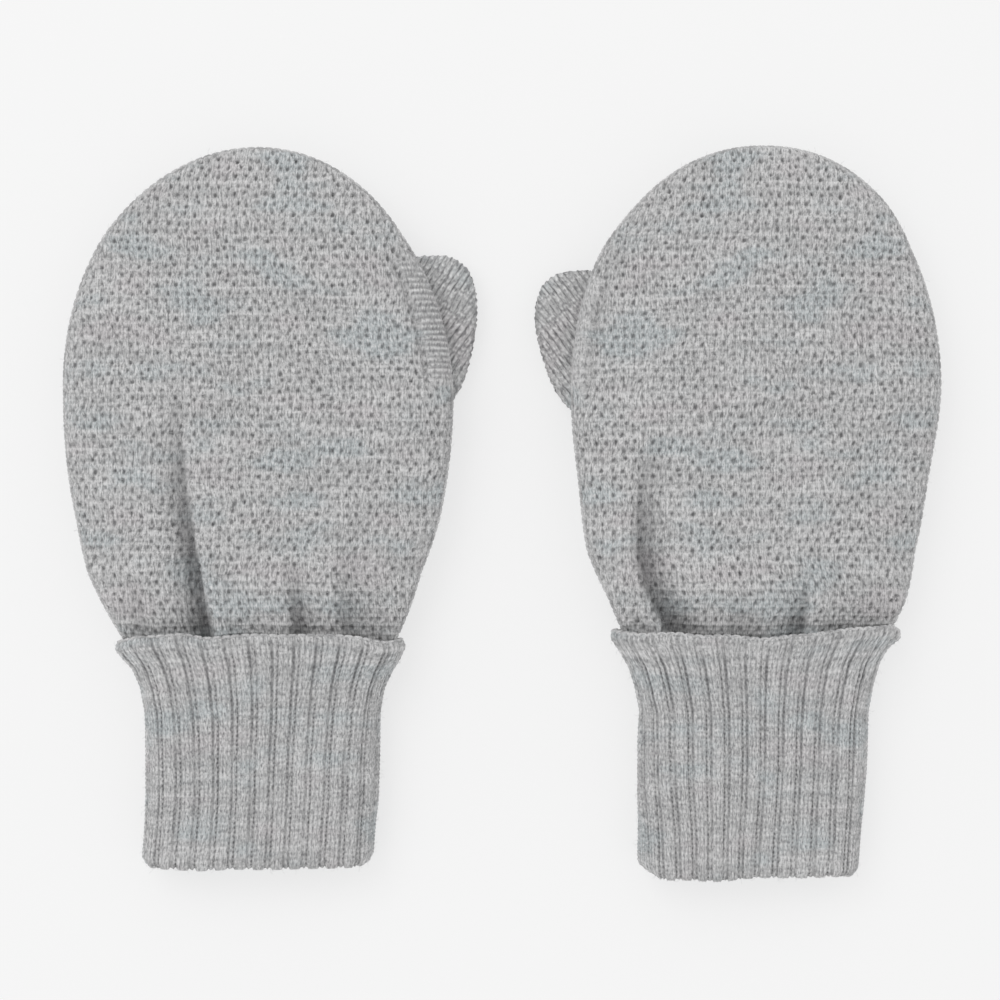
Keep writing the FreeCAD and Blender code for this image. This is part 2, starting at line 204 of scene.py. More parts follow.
# Collects grids and faces with their knitting coordinates, then makes one mesh of them.
class Cloth:
    # hollow and crease are masks of painted shade, in the stitch hollows, the folds and low on the thumb; lip
    # marks the rolled edge beside the thumb.
    markNames = ("hollow", "lip", "crease")

    def __init__(self):
        self.points, self.loops, self.uvs, self.sizes, self.marks = [], [], [], [], []
        self.count = 0

    def addPoints(self, points, **marks):
        flat = points.reshape(-1, 3)
        self.points.append(flat)
        blank = np.zeros(points.shape[:-1])
        self.marks.append(np.stack([marks.get(name, blank).reshape(-1) for name in self.markNames]))
        index = self.count + np.arange(len(flat)).reshape(points.shape[:-1])
        self.count += len(flat)
        return index

    def addFaces(self, corners, uvCorners):
        self.loops.append(np.stack(corners, -1).reshape(-1))
        self.uvs.append(np.stack(uvCorners, -2).reshape(-1, 2))
        self.sizes.append(np.full(corners[0].size, len(corners)))

    def addQuads(self, index, uv, flip=False, mask=None):
        corners = [index[:-1, :-1], index[:-1, 1:], index[1:, 1:], index[1:, :-1]]
        uvCorners = [uv[:-1, :-1], uv[:-1, 1:], uv[1:, 1:], uv[1:, :-1]]
        if mask is not None:
            corners = [corner[mask] for corner in corners]
            uvCorners = [corner[mask] for corner in uvCorners]
        if flip:
            corners, uvCorners = corners[::-1], uvCorners[::-1]
        self.addFaces(corners, uvCorners)

    # Closes the edge between a fine outer row and a coarse inner row, one wide face for each step.
    def stitchEdge(self, fine, coarse, uvFine, step):
        for k in range(len(coarse) - 1):
            run = list(fine[k*step:(k + 1)*step + 1])
            uvRun = list(uvFine[k*step:(k + 1)*step + 1])
            ring = np.array(run + [coarse[k + 1], coarse[k]])
            self.loops.append(ring)
            self.uvs.append(np.array(uvRun + [uvRun[-1], uvRun[0]]))
            self.sizes.append(np.array([len(ring)]))

    # The space the faces enclose, below zero when they point inwards.
    def volume(self, points, loops, starts, sizes):
        total = 0.0
        for size in np.unique(sizes):
            corners = points[loops[starts[sizes == size][:, None] + np.arange(size)]]
            for k in range(1, size - 1):
                total += (corners[:, 0]*np.cross(corners[:, k], corners[:, k + 1])).sum()
        return total

    def build(self, name, prefix, material):
        points = toRow(prefix, np.concatenate(self.points))
        loops, sizes = np.concatenate(self.loops), np.concatenate(self.sizes)
        uvs, marks = np.concatenate(self.uvs), np.concatenate(self.marks, 1)
        used = np.unique(loops)                            # leaves out points that no face uses
        points, marks = points[used], marks[:, used]
        loops = np.searchsorted(used, loops)
        starts = np.concatenate([[0], np.cumsum(sizes)[:-1]])
        if self.volume(points, loops, starts, sizes) < 0:
            within = np.arange(len(loops)) - np.repeat(starts, sizes)
            order = np.repeat(starts + sizes - 1, sizes) - within
            loops, uvs = loops[order], uvs[order]
        mesh = bpy.data.meshes.new(name)
        mesh.vertices.add(len(points))
        mesh.vertices.foreach_set("co", points.astype(np.float32).ravel())
        mesh.loops.add(len(loops))
        mesh.loops.foreach_set("vertex_index", loops.astype(np.int32))
        mesh.polygons.add(len(sizes))
        mesh.polygons.foreach_set("loop_start", starts.astype(np.int32))
        mesh.polygons.foreach_set("loop_total", sizes.astype(np.int32))
        layer = mesh.uv_layers.new(name="knit")
        layer.data.foreach_set("uv", (uvs*0.01).astype(np.float32).ravel())
        for markName, values in zip(self.markNames, marks):
            mark = mesh.attributes.new(markName, "FLOAT", "POINT")
            mark.data.foreach_set("value", values.astype(np.float32))
        mesh.update(calc_edges=True)
        mesh.polygons.foreach_set("use_smooth", np.ones(len(mesh.polygons), bool))
        mesh.materials.append(material)
        mesh.validate()
        return addObject(name, mesh)


# A closed ply between two grids of the same size; mask keeps only some of the faces.
def solidGrid(cloth, outer, inner, uv, mask=None, **marks):
    rows, columns = outer.shape[:2]
    if mask is None:
        mask = np.ones((rows - 1, columns - 1), bool)
    top, bottom = cloth.addPoints(outer, **marks), cloth.addPoints(inner)
    cloth.addQuads(top, uv, mask=mask)
    cloth.addQuads(bottom, uv, flip=True, mask=mask)
    padded = np.pad(mask, 1)
    here = padded[1:-1, 1:-1]
    for rowStep, columnStep, first, second in ((-1, 0, (0, 1), (0, 0)), (1, 0, (1, 0), (1, 1)),
                                               (0, -1, (0, 0), (1, 0)), (0, 1, (1, 1), (0, 1))):
        beyond = padded[1 + rowStep:rows + rowStep, 1 + columnStep:columns + columnStep]
        r, c = np.nonzero(here & ~beyond)
        if len(r):
            a, b = (r + first[0], c + first[1]), (r + second[0], c + second[1])
            cloth.addFaces([top[a], top[b], bottom[b], bottom[a]], [uv[a], uv[b], uv[b], uv[a]])


# A closed ply round a ring: outer and inner tubes joined at both ends.
def solidRing(cloth, outer, inner, uv):
    top, bottom = cloth.addPoints(outer), cloth.addPoints(inner)
    topWide, bottomWide = wrapped(top), wrapped(bottom)
    cloth.addQuads(topWide, uv)
    cloth.addQuads(bottomWide, uv, flip=True)
    for row, first, second in ((0, slice(1, None), slice(None, -1)), (-1, slice(None, -1), slice(1, None))):
        corners = [topWide[row, first], topWide[row, second], bottomWide[row, second], bottomWide[row, first]]
        edge = uv[row, first], uv[row, second]
        cloth.addFaces(corners, [edge[0], edge[1], edge[1], edge[0]])


# Adds nodes to a material's or a modifier's tree: settings first, then values or links.
class NodeMaker:
    def node(self, kind, settings=None, inputs=None):
        node = self.tree.nodes.new(kind)
        for key, value in (settings or {}).items():
            setattr(node, key, value)
        pairs = inputs.items() if isinstance(inputs, dict) else enumerate(inputs or [])
        for key, value in pairs:
            socket = node.inputs[key]
            if isinstance(value, Field):
                self.tree.links.new(value.socket, socket)
            elif isinstance(value, bpy.types.NodeSocket):
                self.tree.links.new(value, socket)
            else:
                socket.default_value = value
        return node


# A number socket that reads as a Python expression.
class Field:
    def __init__(self, maker, socket):
        self.maker, self.socket = maker, socket

    def maths(self, operation, *others):
        node = self.maker.node("ShaderNodeMath", {"operation": operation}, [self, *others])
        return Field(self.maker, node.outputs[0])

    def __add__(self, other):
        return self.maths("ADD", other)

    def __mul__(self, other):
        return self.maths("MULTIPLY", other)

    def __sub__(self, other):
        return self.maths("SUBTRACT", other)

    def __rsub__(self, other):
        return self.maths("MULTIPLY", -1.0).maths("ADD", other)

    def __truediv__(self, other):
        return self.maths("DIVIDE", other)

    __radd__, __rmul__ = __add__, __mul__

    # 0 below low, 1 above high, smooth in the middle.
    def between(self, low, high):
        node = self.maker.node("ShaderNodeMapRange", {"interpolation_type": "SMOOTHSTEP"},
                               [self, low, high, 0.0, 1.0])
        return Field(self.maker, node.outputs[0])


class Shader(NodeMaker):
    def __init__(self, name):
        self.material = bpy.data.materials.new(name)
        self.material.use_nodes = True
        self.tree = self.material.node_tree
        self.tree.nodes.clear()

    def knitPlace(self):
        uv = self.node("ShaderNodeUVMap", {"uv_map": "knit"})
        parts = self.node("ShaderNodeSeparateXYZ", inputs=[uv.outputs[0]])
        return Field(self, parts.outputs[0])*100.0, Field(self, parts.outputs[1])*100.0

    def mark(self, name):
        return Field(self, self.node("ShaderNodeAttribute", {"attribute_name": name}).outputs["Fac"])

    def place(self, x, y, z=0.0):
        return self.node("ShaderNodeCombineXYZ", inputs=[x, y, z]).outputs[0]

    def noise(self, vector, scale, detail=2.0, roughness=0.5):
        node = self.node("ShaderNodeTexNoise", inputs={
            "Vector": vector, "Scale": scale, "Detail": detail, "Roughness": roughness})
        return Field(self, node.outputs[0])

    # Broad soft patches, for stitches whose painted shade is clearer in some places than in others.
    def patches(self, x, y, z, low, high):
        return self.noise(self.place(x, y, z), 1.0, 2.0, 0.5).between(low, high)

    def mix(self, factor, first, second):
        node = self.node("ShaderNodeMix", {"data_type": "RGBA", "clamp_factor": True},
                         {0: factor, 6: first, 7: second})
        return node.outputs[2]

    # Mixes one of the yarn's colours over what is there so far; the dark and shade tones also serve as
    # painted shade.
    def paint(self, share, tone):
        self.colour = self.mix(share, self.colour, yarn[tone])

    def finish(self, height, distance, roughness):
        raised = self.node("ShaderNodeBump", inputs={
            "Strength": 1.0, "Distance": distance, "Height": height})
        surface = self.node("ShaderNodeBsdfPrincipled", inputs={
            "Base Color": self.colour, "Roughness": roughness, "Normal": raised.outputs[0],
            "Sheen Weight": yarn["sheen"], "Sheen Roughness": yarn["sheenRoughness"],
            "Specular IOR Level": yarn["shine"]})
        self.node("ShaderNodeOutputMaterial", inputs={"Surface": surface.outputs[0]})
        return self.material


# dark is the dark fibres and darker patches, and also painted shade between the stitches' wales, loops and
# lip rungs; shade is painted shade alone, in hollows, grooves, dots and folds and low on the thumb.
yarn = {"light": (0.83, 0.825, 0.825, 1), "middle": (0.535, 0.535, 0.536, 1), "dark": (0.15, 0.15, 0.155, 1),
        "blue": (0.53, 0.58, 0.595, 1), "warm": (0.61, 0.575, 0.585, 1), "shade": (0.07, 0.07, 0.073, 1),
        "streak": 0.62, "blueShare": 0.75, "warmShare": 0.55, "fibre": 0.75, "grey": 0.72,
        "darkStrand": 0.55, "paleStrand": 0.60, "sheen": 0.30, "sheenRoughness": 0.5, "shine": 0.15}


# Melange wool: light and dark fibres, faint tints, and paler rows where the yarn runs light.
def yarnColour(shader, u, v, grain=1.0):
    rows = shader.noise(shader.place(u*0.045, v*0.50), 1.0, 3.0, 0.65)
    tints = shader.noise(shader.place(u*0.05, v*0.11, 7.0), 1.0, 2.0, 0.5)
    fibres = shader.noise(shader.place(u*(1.9*grain), v*(1.0*grain), 3.0), 1.0, 4.0, 0.75)
    strands = shader.noise(shader.place(u*(2.6*grain), v*(0.65*grain), 11.0), 1.0, 2.0, 0.6)
    shader.colour = yarn["middle"]
    shader.paint(rows.between(0.42, 0.66)*yarn["streak"], "light")
    shader.paint(tints.between(0.50, 0.66)*yarn["blueShare"], "blue")
    shader.paint((1 - tints.between(0.32, 0.46))*yarn["warmShare"], "warm")
    shader.paint(fibres.between(0.50, 0.68)*yarn["fibre"], "light")
    shader.paint((1 - fibres.between(0.32, 0.50))*yarn["grey"], "dark")
    shader.paint((1 - strands.between(0.35, 0.49))*yarn["darkStrand"], "dark")
    shader.paint(strands.between(0.52, 0.66)*yarn["paleStrand"], "light")
    return fibres, strands


def tuckMaterial():
    shader = Shader("tuck knit wool")
    u, v = shader.knitPlace()
    hollow, lip, crease = shader.mark("hollow"), shader.mark("lip"), shader.mark("crease")
    waleSide = (u*(2*math.pi/tuck["across"])).maths("SINE").maths("ABSOLUTE")
    groove = (1 - waleSide).maths("POWER", 3.0)
    loop = (v*(4*math.pi/tuck["along"]) + waleSide*1.5).maths("COSINE")*0.5 + 0.5
    ladder = (v*(2*math.pi/1.35)).maths("COSINE")*0.5 + 0.5
    fibres, strands = yarnColour(shader, u, v)
    bare = 1 - lip
    patchy = shader.patches(u*0.45, v*0.30, 4.0, 0.35, 0.62)
    # Painted shade: darker in the grooves between wales, between loops, in the stitch hollows, between the
    # lip's rungs and along the folds.
    shader.paint(groove*bare*(0.08 + 0.26*patchy), "dark")
    shader.paint((1 - loop)*bare*(0.20*(1 - patchy)), "dark")
    shader.paint((hollow*1.2).between(0.08, 0.85)*tuck["holeShade"], "shade")
    shader.paint((1 - ladder)*lip*0.55, "dark")
    shader.paint(crease*tuck["creaseShade"], "shade")
    height = (waleSide*0.35 + loop*0.25)*bare + ladder*lip*0.6 + fibres*0.65 + strands*0.35
    return shader.finish(height, 0.00026, 0.86 + 0.10*strands)


def ribMaterial():
    shader = Shader("rib knit wool")
    u, v = shader.knitPlace()
    phase = (u/rib["pitch"]).maths("FRACT")
    groove = 1 - phase.between(0.01, 0.14)*(1 - phase.between(0.90, 0.99))
    dots = ((phase - 0.755).maths("ABSOLUTE")*-24.0).maths("EXPONENT")
    dots = dots*((v*(2*math.pi/rib["loop"])).maths("COSINE")*0.5 + 0.5)
    waleSide = ((phase - 0.37)*(math.pi/0.235)).maths("SINE").maths("ABSOLUTE")
    loop = (v*(2*math.pi/rib["loop"]) + waleSide*1.4).maths("COSINE")*0.5 + 0.5
    fibres, strands = yarnColour(shader, u, v, 1.1)
    patchy = shader.patches(u*0.35, v*0.09, 5.0, 0.34, 0.62)
    dotted = shader.patches(u*0.30, v*0.16, 9.0, 0.32, 0.60)
    top = v.between(34.0, 50.0)
    edge = 1 - v.between(53.5, 58.0)*0.85                  # the grooves close up at the free edge
    beads = (v*(2*math.pi/rib["loop"]) + 1.0).maths("COSINE")*0.5 + 0.5
    # Painted shade: darker between the wales, between loops, in the grooves and along the dotted line.
    shader.paint(waleSide.maths("POWER", 4.0)*(0.10 + 0.30*dotted), "dark")
    shader.paint((1 - loop)*(0.04 + 0.18*patchy), "dark")
    broken = (0.15 + 0.45*patchy + 0.25*top)*(beads*(1 - 0.5*top) + 0.5*top + 0.15)
    shader.paint(groove*broken*edge*0.85, "shade")
    shader.paint(dots*(0.38 + 0.60*dotted - 0.20*top)*edge, "shade")
    height = loop*0.40 - waleSide.maths("POWER", 4.0)*0.25 + fibres*0.55 + strands*0.3 - dots*0.4
    return shader.finish(height, 0.00022, 0.86 + 0.10*strands)


def plainMaterial():
    shader = Shader("plain knit wool")
    u, v = shader.knitPlace()
    crease = shader.mark("crease")
    waleSide = (u*(math.pi/plain["across"])).maths("SINE").maths("ABSOLUTE")
    loop = (v*(2*math.pi/plain["along"]) + waleSide*2.2).maths("COSINE")*0.5 + 0.5
    fibres, strands = yarnColour(shader, u, v, 0.85)
    patchy = shader.patches(u*0.5, v*0.35, 4.0, 0.32, 0.62)
    # Painted shade: darker between the wales and between loops, and low on the thumb where the crease mark is
    # set.
    shader.paint((1 - waleSide).maths("POWER", 2.0)*(0.22 + 0.56*patchy), "shade")
    shader.paint((1 - loop)*(0.48 - 0.34*patchy), "dark")
    shader.paint(crease*0.6, "shade")
    height = waleSide*0.5 + loop*0.4 + fibres*0.45 + strands*0.2
    return shader.finish(height, 0.00022, 0.86 + 0.10*strands)


def threadMaterial(name, tone):
    shader = Shader(name)
    place = shader.node("ShaderNodeTexCoord").outputs["Object"]
    fine = shader.noise(place, 2600.0, 3.0, 0.7)
    broad = shader.noise(place, 300.0, 2.0, 0.5)
    shader.colour = yarn["middle"]
    shader.paint(fine.between(0.42, 0.72)*0.8, "light")
    shader.paint((1 - broad.between(0.3, 0.6))*tone, "dark")
    return shader.finish(fine, 0.0001, 0.88 + 0.08*fine)


tuckWool, ribWool, plainWool = tuckMaterial(), ribMaterial(), plainMaterial()
linkingYarn, looseFibre = threadMaterial("linking yarn", 0.5), threadMaterial("loose fibre", 0.15)
print("materials made")


# A modifier's tree with named inputs; grow() sets them and gives a plain mesh.
class GrowTree(NodeMaker):
    def __init__(self, name, inputs):
        self.tree = bpy.data.node_groups.new(name, "GeometryNodeTree")
        face = self.tree.interface
        face.new_socket("Geometry", in_out="INPUT", socket_type="NodeSocketGeometry")
        self.inputIds = {}
        for label, value in inputs.items():
            kind = "NodeSocketInt" if isinstance(value, int) else "NodeSocketFloat"
            socket = face.new_socket(label, in_out="INPUT", socket_type=kind)
            socket.default_value = value
            self.inputIds[label] = socket.identifier
        face.new_socket("Geometry", in_out="OUTPUT", socket_type="NodeSocketGeometry")
        self.source = self.tree.nodes.new("NodeGroupInput")

    def given(self, label):
        return Field(self, self.source.outputs[label])

    def tilted(self, rotation, tilt):
        turn = self.node("FunctionNodeEulerToRotation", inputs=[tilt])
        return self.node("FunctionNodeRotateRotation", {"rotation_space": "LOCAL"},
                         [rotation, turn.outputs[0]]).outputs[0]

    def end(self, geometry, material):
        real = self.node("GeometryNodeRealizeInstances", inputs={0: geometry})
        soft = self.node("GeometryNodeSetShadeSmooth", inputs={0: real.outputs[0]})
        painted = self.node("GeometryNodeSetMaterial",
                            inputs={"Geometry": soft.outputs[0], "Material": material})
        self.node("NodeGroupOutput", inputs={0: painted.outputs[0]})

    def grow(self, source, name, values):
        modifier = source.modifiers.new("grow", "NODES")
        modifier.node_group = self.tree
        for label, value in values.items():
            modifier[self.inputIds[label]] = value
        depsgraph = bpy.context.evaluated_depsgraph_get()
        mesh = bpy.data.meshes.new_from_object(source.evaluated_get(depsgraph))
        source.modifiers.remove(modifier)
        mesh.name = name
        points = np.empty(len(mesh.vertices)*3, np.float32)
        mesh.vertices.foreach_get("co", points)
        points[2::3] = np.maximum(points[2::3], 0.00004)   # nothing goes into the table
        mesh.vertices.foreach_set("co", points)
        return addObject(name, mesh)


# Overlapping yarn loops along a path, leaning left and right in turn.
def chainTree():
    tree = GrowTree("yarn chain",
                    {"Pitch": 0.001, "Yarn radius": 0.0004, "Loop length": 0.0016, "Lean": 0.4})
    path = tree.node("GeometryNodeMeshToCurve", inputs={0: tree.source.outputs[0]})
    stops = tree.node("GeometryNodeCurveToPoints", {"mode": "LENGTH"},
                      {"Curve": path.outputs[0], "Length": tree.given("Pitch")})
    ball = tree.node("GeometryNodeMeshUVSphere", inputs={"Segments": 8, "Rings": 6, "Radius": 1.0})
    radius = tree.given("Yarn radius")
    size = tree.node("ShaderNodeCombineXYZ", inputs=[radius, radius, tree.given("Loop length")*0.5])
    loop = tree.node("GeometryNodeTransform", inputs={"Geometry": ball.outputs[0], "Scale": size.outputs[0]})
    number = Field(tree, tree.node("GeometryNodeInputIndex").outputs[0])
    side = number.maths("MODULO", 2.0)*2.0 - 1.0
    lean = side*tree.given("Lean")
    tilt = tree.node("ShaderNodeCombineXYZ", inputs=[lean, lean*0.6, 0.0])
    loops = tree.node("GeometryNodeInstanceOnPoints", inputs={
        "Points": stops.outputs["Points"], "Instance": loop.outputs[0],
        "Rotation": tree.tilted(stops.outputs["Rotation"], tilt.outputs[0])})
    tree.end(loops.outputs[0], linkingYarn)
    return tree


# Short curled fibres standing off a fabric, scattered with a fixed seed.
def fibreTree():
    tree = GrowTree("loose fibres",
                    {"Density": 200000.0, "Length": 0.0012, "Thickness": 0.018, "Seed": 1})
    spots = tree.node("GeometryNodeDistributePointsOnFaces", {"distribute_method": "RANDOM"},
                      {"Mesh": tree.source.outputs[0], "Density": tree.given("Density"),
                       "Seed": tree.given("Seed")})
    line = tree.node("GeometryNodeCurveQuadraticBezier", inputs={
        "Resolution": 3, "Start": (0, 0, -0.15), "Middle": (0.15, 0, 0.75), "End": (0.95, 0.1, 0.62)})
    section = tree.node("GeometryNodeCurvePrimitiveCircle", {"mode": "RADIUS"},
                        {"Resolution": 3, "Radius": tree.given("Thickness")})
    tube = tree.node("GeometryNodeCurveToMesh", inputs={
        "Curve": line.outputs[0], "Profile Curve": section.outputs[0], "Fill Caps": True})
    tilt = tree.node("FunctionNodeRandomValue", {"data_type": "FLOAT_VECTOR"},
                     {0: (-0.9, -0.9, -3.14), 1: (0.9, 0.9, 3.14), "Seed": tree.given("Seed")})
    reach = tree.node("FunctionNodeRandomValue", {"data_type": "FLOAT"},
                      {2: 0.45, 3: 1.35, "Seed": tree.given("Seed")})
    scale = Field(tree, reach.outputs[1])*tree.given("Length")
    fibres = tree.node("GeometryNodeInstanceOnPoints", inputs={
        "Points": spots.outputs["Points"], "Instance": tube.outputs[0], "Scale": scale,
        "Rotation": tree.tilted(spots.outputs["Rotation"], tilt.outputs[0])})
    tree.end(fibres.outputs[0], looseFibre)
    return tree


yarnChain, fibreGrowth = chainTree(), fibreTree()


# A yarn chain along one or more paths given in a mitten's own millimetres.
def buildChain(prefix, name, paths, values, closed=False):
    mesh = bpy.data.meshes.new(name + "_path")
    points, edges = [], []
    for path in paths:
        first = len(points)
        points += [tuple(point) for point in toRow(prefix, np.asarray(path, float))]
        edges += [(k, k + 1) for k in range(first, len(points) - 1)]
        if closed:
            edges.append((len(points) - 1, first))
    mesh.from_pydata(points, edges, [])
    source = addObject(name + "_path", mesh)
    piece = yarnChain.grow(source, name, values)
    bpy.data.objects.remove(source)
    bpy.data.meshes.remove(mesh)
    return piece


def middleAt(prefix, v):
    return np.interp(v, laid[prefix]["middleV"], laid[prefix]["middleU"])


def halfWidthAt(prefix, v):
    data = laid[prefix]
    reach = np.where(v > 0, data["crownReach"], data["wristReach"])
    power = np.where(v > 0, data["fullness"], 2.0)
    share = np.clip(1 - np.abs(v/reach)**power, 0, 1)
    return data["halfWidth"]*share**(1/power) - data["trim"]*bump(v + 20, 14.0)


hand = {"rise": 7.6, "drop": 13.5, "underRoll": 0.30, "flatness": 0.88, "ply": 1.4, "start": -65.0,
        "crownEnd": 0.9998, "spacing": 0.42, "palmSpacing": 0.62, "palmPly": 1.2, "thumbRoom": 10.1,
        "hill": 1.00, "ripple": 0.42, "wristDip": 2.9}


# Angles spaced evenly along the outline of a section.
def sectionAngles(count, low, high, rise, width):
    dense = np.linspace(low, high, 4000)
    x = width*signedPower(np.sin(dense), hand["flatness"])
    z = rise*signedPower(np.cos(dense), hand["flatness"])
    length = np.concatenate([[0], np.cumsum(np.hypot(np.diff(x), np.diff(z)))])
    return np.interp(np.linspace(0, length[-1], count), length, dense), length[-1]


# Rows from the wrist to the crown through every stop, closer where the outline turns in.
def handRows(prefix, spacing, stops=(), whole=1):
    reach = laid[prefix]["crownReach"]
    turnIn = 24.0
    rows = []
    marks = [hand["start"], *stops, turnIn]
    for low, high in zip(marks[:-1], marks[1:]):
        rows += list(np.linspace(low, high, max(1, int(round((high - low)/spacing))), endpoint=False))
    first, last = math.asin(turnIn/reach), math.asin(hand["crownEnd"])
    count = int(round(reach*(last - first)/spacing))
    count += (-(len(rows) + count - 1)) % whole
    return np.array(rows + list(reach*np.sin(np.linspace(first, last, count))))


# Folds pressed into the back, each along v, from the cuff upwards.
creases = {
    "left": [
        {"v": (-66, -56, -45, -33, -21, -9, 4), "u": (-11.2, -11.6, -13.2, -15.4, -17.0, -17.8, -18.0),
         "depth": (6.4, 6.4, 5.6, 4.4, 3.0, 1.4, 0.0), "width": 1.7, "shoulder": 1.3, "lean": 1},
        {"v": (-66, -56, -47, -37), "u": (9.6, 9.3, 8.6, 8.0),
         "depth": (3.6, 3.4, 2.1, 0.0), "width": 1.5, "shoulder": 0.8, "lean": -1},
        {"v": (-66, -52, -42, -30), "u": (22.0, 20.5, 20.0, 20.0),
         "depth": (2.6, 2.2, 0.9, 0.0), "width": 2.6, "shoulder": 0.4, "lean": -1},
        {"v": (-66, -52, -40), "u": (-26.0, -27.5, -29.0),
         "depth": (1.6, 1.1, 0.0), "width": 2.2, "shoulder": 0.6, "lean": 1}],
    "right": [
        {"v": (-66, -56, -52, -45, -38, -27, -17, -7), "u": (18.5, 20.9, 23.0, 26.4, 28.0, 28.4, 27.0, 24.0),
         "depth": (6.6, 6.6, 6.2, 5.4, 4.4, 2.8, 1.2, 0.0), "width": 2.2, "shoulder": 1.5, "lean": 1},
        {"v": (-66, -56, -48, -40), "u": (-9.8, -10.0, -10.8, -11.6),
         "depth": (3.2, 3.0, 1.6, 0.0), "width": 1.4, "shoulder": 0.8, "lean": -1},
        {"v": (-66, -54, -44), "u": (6.0, 6.6, 7.6),
         "depth": (1.3, 0.9, 0.0), "width": 2.4, "shoulder": 0.5, "lean": 1}],
}


# A sharp valley, with a rounded shoulder on the side that laps over it, and a mask of painted shade along
# each valley.
def foldRelief(prefix, u, v):
    total, mark = np.zeros_like(u), np.zeros_like(u)
    for crease in creases[prefix]:
        centre = np.interp(v, crease["v"], crease["u"])
        depth = np.interp(v, crease["v"], crease["depth"])*(v < crease["v"][-1])
        away = (u - centre)*crease["lean"]
        valley = np.where(away > 0, bump(away, crease["width"]*0.60), bump(away, crease["width"]*2.8))
        narrow = np.where(away > 0, bump(away, crease["width"]*0.40), bump(away, crease["width"]*1.8))
        shoulder = bump(away - 3.2, 2.8)*crease["shoulder"]/3.2
        total += depth*(shoulder - valley)
        mark = np.maximum(mark, narrow*np.clip(depth/4.6, 0, 1))
    return total, mark


lipShape = {"from": 0.5, "to": 34.0, "height": 1.1, "groove": 1.7, "ladder": 1.35}


# The rolled edge beside the thumb: its relief and its share, by distance in from the side.
def thumbLip(prefix, edge, v):
    drop = laid[prefix]["thumbDrop"]
    low, high = lipShape["from"] - drop, lipShape["to"] - drop
    here = smooth(low, low + 7, v)*(1 - smooth(high - 7, high, v))
    width = laid[prefix]["lipWidth"]
    band = here*(1 - smooth(width - 1.0, width, edge))
    relief = lipShape["height"]*here*bump(edge - width*0.5, width*0.55)
    relief = relief - lipShape["groove"]*here*bump(edge - width - 0.3, 0.75)
    return relief, band


# Base points of the back or the palm, with arc lengths from the centre line.
def shellGrid(prefix, rows, columns, sweep, depth, upwards):
    data = laid[prefix]
    angles = sectionAngles(columns, -sweep, sweep, depth, data["halfWidth"])[0]
    v, angle = np.meshgrid(rows, angles, indexing="ij")
    half = halfWidthAt(prefix, v)
    share = half/data["halfWidth"]
    x = half*signedPower(np.sin(angle), hand["flatness"])
    z = seamHeight + upwards*depth*share**0.8*signedPower(np.cos(angle), hand["flatness"])
    base = np.stack([x + middleAt(prefix, v), v, z], -1)
    steps = np.linalg.norm(np.diff(base, axis=1), axis=2)
    arc = np.concatenate([np.zeros((len(rows), 1)), np.cumsum(steps, 1)], 1)
    arc = arc - arc[:, columns//2:columns//2 + 1]
    return base, arc, v, angle, x, half


fuzz = {"density": 190000.0, "ribDensity": 120000.0, "length": 0.0012, "thickness": 0.016}


# Bakes the piece's placement into its mesh; the knuckle line and 5 mm to each side are worked out, but
# nothing is blended across it.
def blendKnuckle(piece, prefix):
    place = mittenPlace[prefix]
    knuckle, reach = (place["widest"] + knuckleLine)*mm, 0.005
    middle, height = place["centre"]*mm, place["axisHeight"]*mm
    knuckle - reach
    knuckle + reach
    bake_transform(piece)


